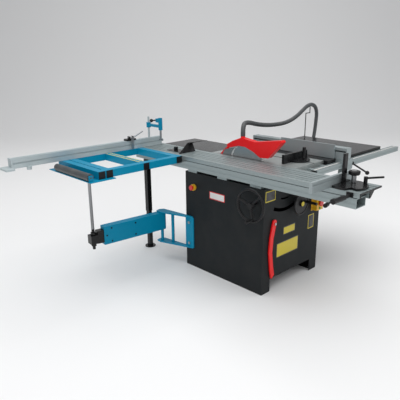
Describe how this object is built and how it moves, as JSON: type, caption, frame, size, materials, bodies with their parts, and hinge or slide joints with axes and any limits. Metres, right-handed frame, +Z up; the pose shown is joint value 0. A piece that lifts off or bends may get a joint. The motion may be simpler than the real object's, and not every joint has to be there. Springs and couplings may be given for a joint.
{
  "type": "sliding table panel saw",
  "caption": "Sliding-table panel saw with tilting blade, rip and crosscut fences, outrigger on a swing arm, and overhead extraction hose.",
  "frame": {"origin": "centre of the four floor bolts, on the floor", "axes": "+Z up; +Y the feed direction, from the operator at the front to the rear; +X towards the rip fence"},
  "size_m": [2.673, 2.0258, 1.16],
  "materials": {
    "painted_cabinet": "satin powder coat",
    "painted_black": "semi-gloss black paint",
    "cast_iron_ground": "ground cast iron with a light oil film",
    "cast_iron_raw": "rough casting",
    "anodised": "clear anodised extrusion",
    "anodised_grey": "satin anodised extrusion",
    "machined_steel": "turned steel",
    "zinc_steel": "zinc-plated fasteners",
    "black_plastic": "moulded black plastic",
    "hose_plastic": "ribbed flexible hose",
    "yellow_plastic": "moulded switch box",
    "red_plastic": "moulded push button",
    "green_plastic": "moulded push button",
    "rubber_black": "ribbed drive belt",
    "blue_paint": "gloss turquoise-blue paint",
    "red_plastic_guard": "moulded red plastic",
    "light_grey_metal": "light grey paint on steel",
    "blade_steel": "ground blade plate with carbide teeth"
  },
  "bodies": {
    "machine": {"cabinet_left_panel": "painted_cabinet", "cabinet_right_panel": "painted_cabinet", "cabinet_front_panel": "painted_cabinet", "cabinet_rear_panel": "painted_cabinet", "cabinet_frame": "painted_cabinet", "cast_iron_table": "cast_iron_ground", "table_insert": "zinc_steel", "rear_extension": "painted_black", "right_extension": "painted_black", "rip_rail": "anodised", "slide_base": "anodised", "rear_leg": "painted_black", "trunnion_rings": "cast_iron_raw", "dust_port": "black_plastic", "extraction_hose": "hose_plastic", "switch_boxes": "yellow_plastic", "machine_bolts": "zinc_steel", "arm_bracket": "blue_paint"},
    "sliding_carriage": {"sliding_table": "anodised", "slide_bearings": "black_plastic", "push_handle": "black_plastic", "outrigger_frame": "blue_paint", "end_plugs": "black_plastic", "edging_shoe": "painted_black"},
    "table_lock": {"table_lock_lever": "black_plastic"},
    "roller": {"support_roller": "machined_steel"},
    "crosscut": {"crosscut_fence": "anodised_grey"},
    "stop_block": {"stop_head": "painted_black"},
    "flip_stop": {"flip_stop": "machined_steel"},
    "clamp_arm": {"clamp_arm": "blue_paint"},
    "clamp_lever": {"clamp_lever": "black_plastic"},
    "clamp_plunger": {"clamp_plunger": "machined_steel"},
    "mitre_head": {"mitre_table": "painted_black", "mitre_fence": "anodised_grey"},
    "mitre_knob": {"mitre_knob": "black_plastic"},
    "mitre_lever": {"mitre_lever": "black_plastic"},
    "swing_arm": {"swing_arm": "blue_paint"},
    "arm_slide": {"arm_slide": "painted_black"},
    "rip_carriage": {"rip_carriage": "anodised", "rip_fence_body": "anodised_grey"},
    "rip_plate": {"rip_fence_plate": "anodised_grey"},
    "rip_lever": {"rip_lever": "black_plastic"},
    "gauge_bar": {"mitre_gauge_bar": "machined_steel"},
    "gauge_head": {"mitre_gauge_head": "painted_black"},
    "tilt_unit": {"tilt_cradle": "cast_iron_raw", "blade_guard": "red_plastic_guard"},
    "tilt_wheel": {"tilt_wheel": "black_plastic"},
    "lift_wheel": {"lift_wheel": "black_plastic"},
    "lift_screw": {"lift_screw": "machined_steel"},
    "lift_carriage": {"lift_carriage": "cast_iron_raw", "motor": "painted_black", "drive_belt": "rubber_black", "riving_knife": "machined_steel"},
    "rotor": {"motor_rotor": "machined_steel"},
    "arbor": {"arbor": "machined_steel", "saw_blade": "blade_steel"},
    "push_stick": {"push_stick": "red_plastic_guard"},
    "emergency_button": {"emergency_button": "red_plastic"},
    "stop_button": {"stop_button": "red_plastic"},
    "start_button": {"start_button": "green_plastic"}
  },
  "joints": [
    {"name": "table_slide", "type": "slide", "parent": "machine", "child": "sliding_carriage", "axis": [0, 1, 0], "range_m": [-0.7, 0.75]},
    {"name": "table_lock_turn", "type": "hinge", "parent": "machine", "child": "table_lock", "pos_m": [-0.37, -0.89, 0.8], "axis": [1, 0, 0], "range_deg": [0, 60]},
    {"name": "roller_spin", "type": "hinge", "parent": "sliding_carriage", "child": "roller", "pos_m": [-1.135, 0.6, 0.845], "axis": [0, 1, 0], "continuous": true},
    {"name": "fence_swing", "type": "hinge", "parent": "sliding_carriage", "child": "crosscut", "pos_m": [-0.19, 0.87, 0.87], "axis": [0, 0, 1], "range_deg": [-45, 0]},
    {"name": "stop_travel", "type": "slide", "parent": "crosscut", "child": "stop_block", "axis": [1, 0, 0], "range_m": [-0.6, 0.08]},
    {"name": "flip_stop_turn", "type": "hinge", "parent": "stop_block", "child": "flip_stop", "pos_m": [-0.469, 0.856, 0.9628], "axis": [-1, 0, 0], "range_deg": [0, 100]},
    {"name": "clamp_height", "type": "slide", "parent": "crosscut", "child": "clamp_arm", "axis": [0, 0, 1], "range_m": [-0.03, 0.03]},
    {"name": "clamp_lever_turn", "type": "hinge", "parent": "clamp_arm", "child": "clamp_lever", "pos_m": [-0.27, 0.761, 1.086], "axis": [1, 0, 0], "range_deg": [0, 60]},
    {"name": "clamp_press", "type": "slide", "parent": "clamp_arm", "child": "clamp_plunger", "axis": [0, 0, -1], "range_m": [0, 0.0315]},
    {"name": "mitre_swivel", "type": "hinge", "parent": "sliding_carriage", "child": "mitre_head", "pos_m": [-0.262, -0.922, 0.876], "axis": [0, 0, -1], "range_deg": [-45, 45]},
    {"name": "mitre_knob_turn", "type": "hinge", "parent": "mitre_head", "child": "mitre_knob", "pos_m": [-0.215, -0.922, 0.9], "axis": [0, 0, 1], "range_deg": [-180, 180]},
    {"name": "mitre_lever_turn", "type": "hinge", "parent": "mitre_head", "child": "mitre_lever", "pos_m": [-0.2, -0.985, 0.9], "axis": [0, 0, 1], "range_deg": [-60, 0]},
    {"name": "arm_swing", "type": "hinge", "parent": "machine", "child": "swing_arm", "pos_m": [-0.395, 0.59, 0.32], "axis": [0, 0, -1], "range_deg": [-51.5, 55]},
    {"name": "arm_extend", "type": "slide", "parent": "swing_arm", "child": "arm_slide", "axis": [-0.9951, 0.0993, 0], "range_m": [0, 0.35]},
    {"name": "rip_fence_slide", "type": "slide", "parent": "machine", "child": "rip_carriage", "axis": [1, 0, 0], "range_m": [-0.07, 0.58]},
    {"name": "rip_plate_slide", "type": "slide", "parent": "rip_carriage", "child": "rip_plate", "axis": [0, 1, 0], "range_m": [-0.06, 0.25]},
    {"name": "rip_lever_turn", "type": "hinge", "parent": "rip_carriage", "child": "rip_lever", "pos_m": [0.416, -0.56, 0.835], "axis": [-1, 0, 0], "range_deg": [0, 60]},
    {"name": "gauge_slide", "type": "slide", "parent": "machine", "child": "gauge_bar", "axis": [0, -1, 0], "range_m": [-0.44, 0.02]},
    {"name": "gauge_swivel", "type": "hinge", "parent": "gauge_bar", "child": "gauge_head", "pos_m": [0.095, -0.331, 0.876], "axis": [0, 0, 1], "range_deg": [-45, 45]},
    {"name": "blade_tilt", "type": "hinge", "parent": "machine", "child": "tilt_unit", "pos_m": [-0.095, 0, 0.87], "axis": [0, 1, 0], "range_deg": [0, 45]},
    {"name": "tilt_wheel_turn", "type": "hinge", "parent": "machine", "child": "tilt_wheel", "pos_m": [-0.385, -0.312, 0.645], "axis": [1, 0, 0], "range_deg": [-10, 1640]},
    {"name": "lift_wheel_turn", "type": "hinge", "parent": "tilt_unit", "child": "lift_wheel", "pos_m": [0.01904, -0.425, 0.59468], "axis": [0, 1, 0], "range_deg": [-1540, 10]},
    {"name": "lift_screw_turn", "type": "hinge", "parent": "tilt_unit", "child": "lift_screw", "pos_m": [0.01904, -0.17, 0.72], "axis": [0, 0, 1], "range_deg": [-1540, 10]},
    {"name": "blade_lift", "type": "slide", "parent": "tilt_unit", "child": "lift_carriage", "axis": [0, 0, 1], "range_m": [-0.106, 0]},
    {"name": "blade_spin", "type": "hinge", "parent": "lift_carriage", "child": "arbor", "pos_m": [-0.095, -0.022, 0.818], "axis": [1, 0, 0], "continuous": true},
    {"name": "motor_spin", "type": "hinge", "parent": "lift_carriage", "child": "rotor", "pos_m": [-0.095, -0.022, 0.658], "axis": [1, 0, 0], "continuous": true},
    {"name": "push_stick_swing", "type": "hinge", "parent": "machine", "child": "push_stick", "pos_m": [-0.219, -0.385, 0.497], "axis": [0, 1, 0], "range_deg": [-35, 35]},
    {"name": "emergency_press", "type": "slide", "parent": "machine", "child": "emergency_button", "axis": [1, 0, 0], "range_m": [0, 0.005], "stiffness_N_per_m": 1500, "springref_m": -0.001},
    {"name": "stop_press", "type": "slide", "parent": "machine", "child": "stop_button", "axis": [0, 1, 0], "range_m": [0, 0.005], "stiffness_N_per_m": 1500, "springref_m": -0.001},
    {"name": "start_press", "type": "slide", "parent": "machine", "child": "start_button", "axis": [0, 1, 0], "range_m": [0, 0.004], "stiffness_N_per_m": 1500, "springref_m": -0.001}
  ],
  "couplings": [
    {"joint": "arm_swing", "follows": "table_slide", "rad_per_m": 1.27},
    {"joint": "clamp_press", "follows": "clamp_lever_turn", "m_per_rad": 0.03},
    {"joint": "tilt_wheel_turn", "follows": "blade_tilt", "ratio": 36},
    {"joint": "lift_wheel_turn", "follows": "blade_lift", "rad_per_m": 251.3},
    {"joint": "lift_screw_turn", "follows": "blade_lift", "rad_per_m": 251.3},
    {"joint": "motor_spin", "follows": "blade_spin", "ratio": 0.7619}
  ]
}
